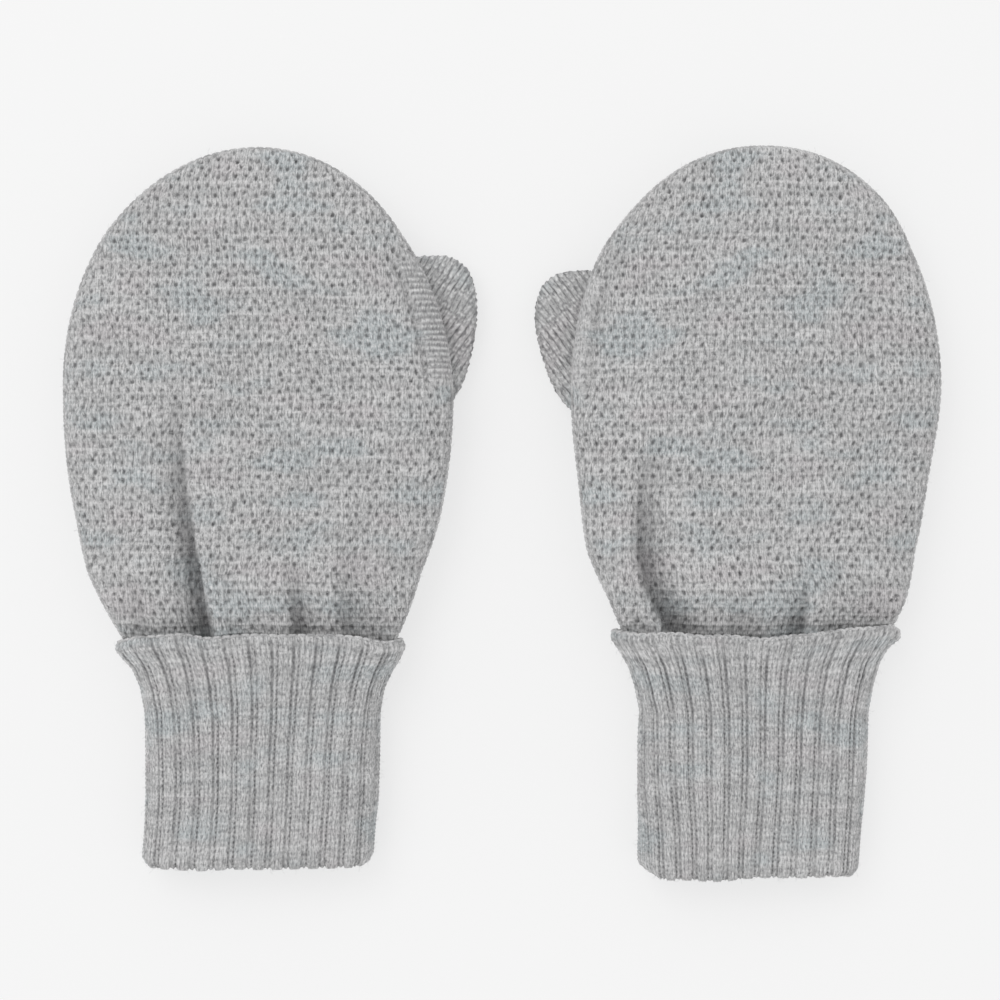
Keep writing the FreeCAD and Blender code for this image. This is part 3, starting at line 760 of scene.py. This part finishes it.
# The back: one uninterrupted fabric from under the turn-up to the crown.
def buildBack(prefix):
    spacing, sweep = hand["spacing"], math.pi/2 + hand["underRoll"]
    length = sectionAngles(10, -sweep, sweep, hand["rise"], laid[prefix]["halfWidth"])[1]
    rows = handRows(prefix, spacing, whole=4)
    columns = 4*int(round(length/spacing/4)) + 1
    base, arc, v, angle, x, half = shellGrid(prefix, rows, columns, sweep, hand["rise"], 1)
    seed = laid[prefix]["seed"]
    u = base[..., 0]
    facing = np.clip(np.cos(angle), 0, 1)**0.7
    crown = smooth(laid[prefix]["crownReach"], laid[prefix]["crownReach"] - 2.5, v)
    hills = hand["hill"]*softNoise(u, v*0.6, 20.0, seed) + hand["ripple"]*softNoise(u, v, 9.0, seed + 1)
    folds, foldShade = foldRelief(prefix, u, v)
    base[..., 2] += (folds + hills)*facing*crown - hand["wristDip"]*smooth(-46, -62, v)*facing
    lipRelief, band = thumbLip(prefix, np.where(x > 0, half - x, 99.0), v)
    warpedU = arc + 0.30*softNoise(u, v, 5.0, seed + 2) + 0.45*softNoise(u, v, 16.0, seed + 3)
    warpedV = v + 0.24*softNoise(u, v, 4.0, seed + 4) + 0.60*softNoise(u, v, 20.0, seed + 5)
    normals = gridNormals(base, False)
    knit, hollow = tuckKnit(warpedU, warpedV, seed + 7)
    strength = 0.95 + 0.10*softNoise(u, v, 6.0, seed + 6)
    rungs = band*laid[prefix]["lipLadder"]
    knit = knit*strength*(1 - band)*crown + rungs*0.18*np.cos(2*math.pi*warpedV/lipShape["ladder"])
    outer = base + normals*(knit + lipRelief*crown)[..., None]
    inner = (base - normals*hand["ply"])[::4, ::4]
    uv = np.stack([warpedU, warpedV], -1)
    cloth = Cloth()
    # The hollow and crease marks carry painted shade into the stitch hollows and along the folds.
    top = cloth.addPoints(outer, hollow=hollow*strength*(1 - band), lip=rungs, crease=foldShade*facing)
    bottom = cloth.addPoints(inner)
    cloth.addQuads(top, uv)
    cloth.addQuads(bottom, uv[::4, ::4], flip=True)
    forwards, backwards = slice(None), slice(None, None, -1)
    for side in ((0, backwards), (-1, forwards), (forwards, 0), (backwards, -1)):
        cloth.stitchEdge(top[side], bottom[side], uv[side], 4)
    piece = cloth.build(f"{prefix}_back_fabric", prefix, tuckWool)
    fibres = fibreGrowth.grow(piece, f"{prefix}_back_fibres",
                              {"Density": fuzz["density"], "Length": fuzz["length"],
                               "Thickness": fuzz["thickness"], "Seed": seed})
    for part in (piece, fibres):
        blendKnuckle(part, prefix)
    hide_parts(f"{prefix}_hand_back", f"{prefix}_cap_back")


opening = {"palmEnd": 0.4, "weltLow": 1.0, "weltHigh": 7.0, "gapLow": 15.85, "gapHigh": 16.15, "side": 27.3,
           "innerLow": -4.0, "innerHigh": 15.0, "innerInset": 1.9, "innerPly": 1.0}
thumbShape = {"baseV": -5.6, "tipV": 33.6, "baseU": 36.9, "slope": 0.117, "half": 12.0, "fullness": 2.6,
              "height": 9.3, "rootU": 38.5, "rootV": 5.0, "spacing": 0.34, "twist": 0.55, "stitchScale": 0.8,
              "taper": 0.05, "taperFrom": 17, "dent": 0.9, "dentU": 44.0, "dentV": 14.0}


# How close a point lies to the thumb's middle line.
def fromThumb(prefix, u, v):
    low, high = thumbShape["rootV"], thumbShape["tipV"] - laid[prefix]["thumbDrop"] - 10
    nearest = np.clip(v, low, high)
    middle = thumbShape["baseU"] + thumbShape["slope"]*(nearest - thumbShape["baseV"])
    return np.hypot(u - middle, v - nearest)


# The palm side, made once and shared out between the palm, the flip top and their welts.
def buildPalms(prefix):
    stops = (opening["innerLow"], opening["palmEnd"], opening["weltLow"], opening["weltHigh"],
             opening["innerHigh"], opening["gapLow"], opening["gapHigh"])
    rows = handRows(prefix, hand["palmSpacing"], stops)
    sweep = math.pi/2
    length = sectionAngles(10, -sweep, sweep, hand["drop"], laid[prefix]["halfWidth"])[1]
    columns = 2*int(round(length/hand["palmSpacing"]/2)) + 1
    base, arc, v, angle = shellGrid(prefix, rows, columns, sweep, hand["drop"], -1)[:4]
    seed = laid[prefix]["seed"] + 40
    u, z = base[..., 0], base[..., 2]
    facing = np.clip(np.cos(angle), 0, 1)
    z = z + 0.5*softNoise(u, v, 14.0, seed)*facing
    z = np.where(z > 2.0, z, 0.25 + 1.75*np.exp((z - 2.0)/1.75))       # lies flat on the table
    near = 1 - smooth(10.8, 13.6, fromThumb(prefix, u, v))
    z = z + np.maximum(hand["thumbRoom"] - z, 0)*near
    base[..., 2] = z
    normals = -gridNormals(base, False)
    warpedU = arc + 0.35*softNoise(u, v, 9.0, seed + 1)
    warpedV = v + 0.30*softNoise(u, v, 9.0, seed + 2)
    knit, hollow = tuckKnit(warpedU, warpedV, seed + 3)
    crown = smooth(laid[prefix]["crownReach"], laid[prefix]["crownReach"] - 2.5, v)
    uv = np.stack([warpedU, warpedV], -1)
    ribs = ribKnit(u/rib["pitch"], v)*0.55
    rowMiddle = (rows[:-1] + rows[1:])[:, None]/2
    split = np.argmin(np.abs(base[np.argmin(np.abs(rows - 8)), :, 0] - opening["side"]))
    lapSide = (np.arange(columns - 1) < split)[None, :]
    wholeRow = np.ones((1, columns - 1), bool)
    handPart = (rowMiddle < opening["palmEnd"]) | ((rowMiddle < opening["gapLow"]) & ~lapSide)
    capPart = ((rowMiddle > opening["gapHigh"]) & wholeRow) | ((rowMiddle > opening["weltHigh"]) & lapSide)
    capWelt = (rowMiddle > opening["weltLow"]) & (rowMiddle < opening["weltHigh"]) & lapSide
    innerWelt = (rowMiddle > opening["innerLow"]) & (rowMiddle < opening["innerHigh"]) & lapSide
    ply = hand["palmPly"]
    for name, body, mask, relief, inset, thick, wool, node, slot in (
            ("palm_fabric", "hand", handPart, 0.75*knit*crown, 0.0, ply, tuckWool, "palm", "palm_knit"),
            ("flip_palm_fabric", "cap", capPart, 0.75*knit*crown, 0.0, ply, tuckWool,
             "cap_palm", "palm_knit"),
            ("flip_welt_rib", "cap", capWelt, ribs, 0.0, ply, ribWool, "cap_welt", "rib_knit"),
            ("palm_welt_rib", "hand", innerWelt, ribs*0.6, opening["innerInset"], opening["innerPly"],
             ribWool, "palm_welt", "rib_knit")):
        outer = base + normals*(relief - inset)[..., None]
        outer[..., 2] = np.maximum(outer[..., 2], 0.02)
        inner = base - normals*(inset + thick)
        tucked = wool is tuckWool
        cloth = Cloth()
        # The hollow mark carries painted shade into the stitch hollows.
        solidGrid(cloth, outer, inner, uv if tucked else np.stack([u, v], -1), mask,
                  hollow=hollow*tucked)
        piece = cloth.build(f"{prefix}_{name}", prefix, wool)
        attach(piece, f"{prefix}_{body}")
        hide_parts(f"{prefix}_{node}")


# The thumb: a flat closed pillow of plain knitting whose wales lean across it.
def buildThumb(prefix):
    data, shape = laid[prefix], thumbShape
    tip = shape["tipV"] - data["thumbDrop"]
    middleV, reach = (shape["baseV"] + tip)/2, (tip - shape["baseV"])/2
    turns = np.linspace(-math.pi/2, math.pi/2, int(math.pi*reach/shape["spacing"]/1.3))
    x = np.sin(turns)*0.99985
    v = middleV + reach*x
    roundness = (1 - np.abs(x)**shape["fullness"])**(1/shape["fullness"])
    half = (shape["half"] - shape["taper"]*np.clip(shape["taperFrom"] - v, 0, None))*roundness
    columns = int(2*(2*shape["half"] + 5)/shape["spacing"])
    angle = np.linspace(0, 2*math.pi, columns, endpoint=False)[None, :]
    acrossShape, heightShape = signedPower(np.sin(angle), 0.85), signedPower(np.cos(angle), 0.72)
    pu = shape["baseU"] + shape["slope"]*(v[:, None] - shape["baseV"]) + half[:, None]*acrossShape
    thick = (shape["height"]/2)*roundness[:, None]**0.75
    pz = shape["height"]/2 + 0.1 + thick*heightShape
    pv = v[:, None] + 0*angle
    dent = shape["dent"]*bump(pu - shape["dentU"], 5.0)*bump(pv - shape["dentV"], 9.0)
    pz = pz - dent*np.clip(heightShape, 0, 1)
    points = np.stack([pu, pv, pz], -1)
    normals = -gridNormals(points, True)
    turn, seed = shape["twist"], data["seed"] + 60
    alongU = pu*np.sign(heightShape) + 0.25*softNoise(pu, pv, 5.0, seed)
    knitU = (alongU*math.cos(turn) - pv*math.sin(turn))*shape["stitchScale"]
    knitV = alongU*math.sin(turn) + pv*math.cos(turn) + 0.2*softNoise(pu, pv, 4.0, seed + 1)
    knitV = knitV*shape["stitchScale"]
    ends = smooth(0, 0.25, roundness)[:, None]
    outer = points + normals*((plainKnit(knitU, knitV)*1.2 - 0.2)*ends)[..., None]
    outer[..., 2] = np.maximum(outer[..., 2], 0.02)
    if data["thumbTurn"]:
        swing = math.radians(data["thumbTurn"])
        du, dv = outer[..., 0] - shape["rootU"], outer[..., 1] - shape["rootV"]
        outer[..., 0] = shape["rootU"] + du*math.cos(swing) + dv*math.sin(swing)
        outer[..., 1] = shape["rootV"] - du*math.sin(swing) + dv*math.cos(swing)
    uv = wrapped(np.stack([knitU, knitV], -1))
    cloth = Cloth()
    # The crease mark here is painted shade, darker over the lowest 4 mm of the thumb towards the table.
    index = cloth.addPoints(outer, crease=np.clip(1 - (pz - 0.5)/3.5, 0, 1)*0.5)
    ring = wrapped(index)
    cloth.addQuads(ring, uv)
    for row, step in ((0, -1), (-1, 1)):                   # close both poles with one point each
        pole = cloth.addPoints(outer[row].mean(0)[None, :])
        edge, edgeUv = ring[row][::step], uv[row][::step]
        cloth.addFaces([edge[:-1], edge[1:], np.full(columns, pole[0])],
                       [edgeUv[:-1], edgeUv[1:], edgeUv[:-1]])
    piece = cloth.build(f"{prefix}_thumb_knit", prefix, plainWool)
    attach(piece, f"{prefix}_thumb")
    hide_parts(f"{prefix}_thumb")


seams = {"pitch": 0.00105, "radius": 0.00055, "length": 0.0018, "lean": 0.45, "stand": 0.1,
         "ringRadius": 8.3, "ringHeight": 10.25, "edgeGap": 2.0}


# Linked seams: round the hand, round the crown, and where the thumb joins the palm.
def buildSeams(prefix):
    values = {"Pitch": seams["pitch"], "Yarn radius": seams["radius"], "Loop length": seams["length"],
              "Lean": seams["lean"]}

    def edgePoint(v, side):
        return (side*(halfWidthAt(prefix, v) + seams["stand"]) + middleAt(prefix, v), v, seamHeight - 0.4)

    sideRows = np.arange(hand["start"], knuckleLine - 0.2, 1.0)
    sides = [[edgePoint(v, side) for v in sideRows] for side in (-1, 1)]
    reach = laid[prefix]["crownReach"]
    first = math.asin((knuckleLine + 0.3)/reach)
    turns = np.linspace(first, math.pi - first, 90)
    crown = [[edgePoint(reach*math.sin(turn)*0.9999, 1 if turn < math.pi/2 else -1) for turn in turns]]
    ring = [[]]
    for turn in np.linspace(0, 2*math.pi, 48, endpoint=False):
        v = thumbShape["rootV"] + seams["ringRadius"]*math.sin(turn)
        edge = halfWidthAt(prefix, v) + middleAt(prefix, v) - seams["edgeGap"]
        u = min(thumbShape["rootU"] + seams["ringRadius"]*math.cos(turn), edge)
        ring[0].append((u, v, seams["ringHeight"]))
    for name, body, paths, closed in (
            ("side_seam", "hand", sides, False), ("crown_seam", "cap", crown, False),
            ("thumb_seam", "hand", ring, True)):
        piece = buildChain(prefix, f"{prefix}_{name}_loops", paths, values, closed)
        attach(piece, f"{prefix}_{body}")
        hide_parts(f"{prefix}_{name}")


cuffShape = {
    "left": {"v": (-116, -109, -101, -90, -75, -69.4, -65, -62.3, -59.4, -56),
             "half": (28.0, 27.9, 27.8, 28.1, 28.3, 29.3, 31.1, 32.9, 34.5, 34.2)},
    "right": {"v": (-118, -109, -101, -90, -75, -69.4, -65, -62.3, -59.4, -56),
              "half": (26.2, 26.6, 26.8, 27.4, 27.5, 28.6, 30.2, 32.2, 34.5, 34.9)},
}
turnUp = {"bottom": -112.6, "top": -57.6, "heightBottom": 15.0, "heightTop": 20.4, "ply": 1.7,
          "foldRadius": 2.0, "girth": 132, "spacing": 0.42, "flareFrom": -78.0, "flareLength": 20.0,
          "bowFrom": -74.0}
innerCuff = {"low": -110.5, "high": -66.0, "half": 24.6, "centre": 7.6, "height": 9.0, "ply": 1.2,
             "wristHalf": 26.6, "wristHeight": 13.4, "girth": 105, "spacing": 0.55}


# Skeleton point and outward direction of a flattened ring; fraction 0 is under the middle.
def stadium(fraction, half, height):
    radius = height/2
    flat = half - radius
    arc = math.pi*radius
    along = np.mod(fraction, 1.0)*(4*flat + 2*arc)
    turn = np.clip((along - flat)/radius, 0, math.pi)
    turn = turn + np.clip((along - 3*flat - arc)/radius, 0, math.pi)
    x = np.minimum(along, flat) - np.clip(along - flat - arc, 0, 2*flat)
    x = x + np.clip(along - 3*flat - 2*arc, 0, None)
    return x, np.sin(turn), -np.cos(turn)


# The cloth's cross-section: v, depth below the outer face, and 1 on the outer face.
def turnUpPath(bottom, top):
    ply, fold, spacing = turnUp["ply"], turnUp["foldRadius"], turnUp["spacing"]
    path = []
    for turn in np.linspace(-math.pi/2, math.pi/2, 14)[:-1]:
        path.append((bottom + fold*(1 - math.cos(turn)), fold*(1 - math.sin(turn)), smooth(-0.9, 0.3, turn)))
    path += [(v, 0.0, 1.0) for v in np.arange(bottom + fold, top - ply/2, spacing)]
    for turn in np.linspace(0, math.pi, 9):
        path.append((top - ply/2 + ply/2*math.sin(turn), ply/2 - ply/2*math.cos(turn),
                     1.0 - smooth(0.6, 2.6, turn)))
    path += [(v, ply, 0.0) for v in np.arange(top - ply/2 - 2, bottom + fold + 1.5, -2.0)]
    return np.array(path, float)


# The turned-up ply: fold, ribbed outer face, free edge and inner face, one closed ring of cloth.
def buildTurnUp(prefix):
    data, shape = laid[prefix], cuffShape[prefix]
    fold = turnUp["foldRadius"]
    bottom, top = turnUp["bottom"] + data["hemShift"] - 0.9, turnUp["top"]
    vPath, depth, face = turnUpPath(bottom, top).T[..., None]
    columns = int(turnUp["girth"]/turnUp["spacing"])
    fraction = np.arange(columns)[None, :]/columns
    v = vPath + 0*fraction
    flare = np.clip((v - turnUp["flareFrom"])/turnUp["flareLength"], 0, 1)
    height = turnUp["heightBottom"] + (turnUp["heightTop"] - turnUp["heightBottom"])*flare**1.3
    half = np.interp(v, shape["v"], shape["half"])
    x, nx, nz = stadium(fraction + 0*v, half, height)
    seed = data["seed"] + 20
    slant = data["ribSlant"]*(v - top)*smooth(-5, 20, x)
    phase = fraction*rib["count"] + slant + 0.12*softNoise(x, v, 18.0, seed)
    relief = ribKnit(phase, v + 0.15*softNoise(x, v, 6.0, seed + 1))*face
    relief = relief + 0.28*softNoise(x + 100*nz, v, 12.0, seed + 2)*face
    out = height/2 - depth + relief - 0.8*face
    px = x + nx*out + middleAt(prefix, v)
    pz = height/2 + nz*out + 0.15
    # The free edge is bowed and slightly wavy; the hem is uneven, with rounded corners.
    nearTop = smooth(turnUp["bowFrom"], top, v)
    nearHem = 1 - smooth(bottom, bottom + 16, v)
    topEdge = np.interp(px, data["edgeU"], data["edgeV"]) + 0.30*softNoise(px, px*0, 7.0, seed + 3)
    hem = np.interp(px, data["hemU"], data["hemV"]) + 0.25*softNoise(px, px*0, 9.0, seed + 4)
    shift = nearTop*topEdge + nearHem*hem
    hemPush = (relief - 0.45)*np.clip(1 - np.abs(vPath - bottom)/fold, 0, 1)*0.9
    lift = nearTop*0.6*softNoise(px, px*0, 6.0, seed + 5)*face*np.clip(nz, 0, 1)
    points = np.stack([px, v + shift - hemPush, np.maximum(pz + lift, 0.03)], -1)
    cloth = Cloth()
    index = cloth.addPoints(points)
    index = np.concatenate([index, index[:1]], 0)
    ring = wrapped(index)
    alongCloth = np.concatenate([[0], np.cumsum(np.hypot(np.diff(vPath[:, 0]), np.diff(depth[:, 0])))])
    alongCloth = np.append(alongCloth, alongCloth[-1] + 2)[:, None]
    phases = wrappedPhase(phase)
    phases = np.concatenate([phases, phases[-1:]], 0)
    cloth.addQuads(ring, np.stack([phases*rib["pitch"], alongCloth + 0*phases], -1))
    piece = cloth.build(f"{prefix}_turnup_rib", prefix, ribWool)
    fibres = fibreGrowth.grow(piece, f"{prefix}_turnup_fibres",
                              {"Density": fuzz["ribDensity"], "Length": fuzz["length"],
                               "Thickness": fuzz["thickness"], "Seed": seed})
    topRow = int(np.argmax(vPath[:, 0]))
    edge = [[tuple(point) for point in points[topRow, ::3]]]
    chain = buildChain(prefix, f"{prefix}_cast_off_edge", edge,
                       {"Pitch": 0.00112, "Yarn radius": 0.00044, "Loop length": 0.0018, "Lean": 0.60}, True)
    for part, slot in ((piece, "rib_knit"), (fibres, "rib_knit"), (chain, "edge_yarn")):
        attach(part, f"{prefix}_turnup")
    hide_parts(f"{prefix}_cuff_turnup")
    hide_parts(f"{prefix}_cuff_edge")


# The cuff's inner ply and the ring where it is joined to the hand.
def buildInnerCuff(prefix):
    data, shape = laid[prefix], innerCuff
    columns = int(shape["girth"]/shape["spacing"])
    fraction = np.arange(columns)[None, :]/columns
    for name, low, high, half, height, wool, node, slot in (
            ("inner_cuff_rib", shape["low"], shape["high"], shape["half"], shape["height"], ribWool,
             "cuff_inner", "rib_knit"),
            ("wrist_join", shape["high"] - 1.2, hand["start"] + 0.8, shape["wristHalf"], shape["wristHeight"],
             plainWool, "wrist_seam", "edge_yarn")):
        v = np.linspace(low, high, max(5, int((high - low)/shape["spacing"])))[:, None] + 0*fraction
        spread = smooth(high - 9, high, v) if node == "cuff_inner" else 0*v
        wideHalf = half + (shape["wristHalf"] - half)*spread
        tall = height + (shape["wristHeight"] - height)*spread
        x, nx, nz = stadium(fraction + 0*v, wideHalf, tall)
        phase = fraction*rib["count"] + 0.1*softNoise(x, v, 15.0, data["seed"] + 80)
        relief = ribKnit(phase, v)*0.55 - 0.3
        if node == "wrist_seam":
            relief = 0.6*np.sin(math.pi*(v - low)/(high - low)) - 0.3
            relief = relief + 0.1*np.cos(fraction*2*math.pi*90)
        layers = []
        for out in (tall/2 + relief, tall/2 - shape["ply"]):
            px = x + nx*out + middleAt(prefix, v)
            layers.append(np.stack([px, v, shape["centre"] + 0.6*spread + nz*out], -1))
        phases = wrappedPhase(phase)
        uv = np.stack([phases*rib["pitch"], v[:, :1] + 0*phases], -1)
        cloth = Cloth()
        solidRing(cloth, layers[0], layers[1], uv)
        piece = cloth.build(f"{prefix}_{name}", prefix, wool)
        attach(piece, f"{prefix}_hand")
        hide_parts(f"{prefix}_{node}")


for prefix in mittenSides:
    buildBack(prefix)
    print(prefix, "back made")
    buildPalms(prefix)
    buildThumb(prefix)
    print(prefix, "palm, flip top and thumb made")
    buildSeams(prefix)
    buildTurnUp(prefix)
    buildInnerCuff(prefix)
    print(prefix, "seams and cuff made")


studio = {"cameraPlace": (-0.0019, 0.0026, 0.670), "lens": 100.0, "floor": (0.30, 0.30, 0.30, 1),
          "glow": 0.632, "sky": 0.80, "lamp": 7.5, "lampSize": 1.2, "lampPlace": (-0.7, 0.7, 1.6)}


def buildStudio():
    bpy.ops.mesh.primitive_plane_add(size=6.0, location=(0, 0, -0.0002))
    floor = bpy.context.object
    floor.name = "floor"
    shader = Shader("pale floor")
    surface = shader.node("ShaderNodeBsdfPrincipled", inputs={
        "Base Color": studio["floor"], "Roughness": 0.9, "Specular IOR Level": 0.0,
        "Emission Color": (1, 1, 1, 1), "Emission Strength": studio["glow"]})   # keeps shadows faint
    shader.node("ShaderNodeOutputMaterial", inputs={"Surface": surface.outputs[0]})
    floor.data.materials.append(shader.material)
    world = bpy.data.worlds.new("studio")
    bpy.context.scene.world = world
    world.use_nodes = True
    background = world.node_tree.nodes["Background"]
    background.inputs["Strength"].default_value = studio["sky"]
    background.inputs["Color"].default_value = (1, 1, 1, 1)
    lamp = addObject("soft_box", bpy.data.lights.new("soft_box", "AREA"))
    lamp.data.size = studio["lampSize"]
    lamp.data.energy = studio["lamp"]
    lamp.location = studio["lampPlace"]
    lamp.rotation_euler = (-lamp.location).to_track_quat("-Z", "Y").to_euler()
    camera = addObject("camera", bpy.data.cameras.new("camera"))
    camera.data.lens = studio["lens"]
    camera.data.sensor_width = 36.0
    camera.location = studio["cameraPlace"]
    bpy.context.scene.camera = camera
    bpy.context.scene.view_settings.view_transform = "Standard"


buildStudio()
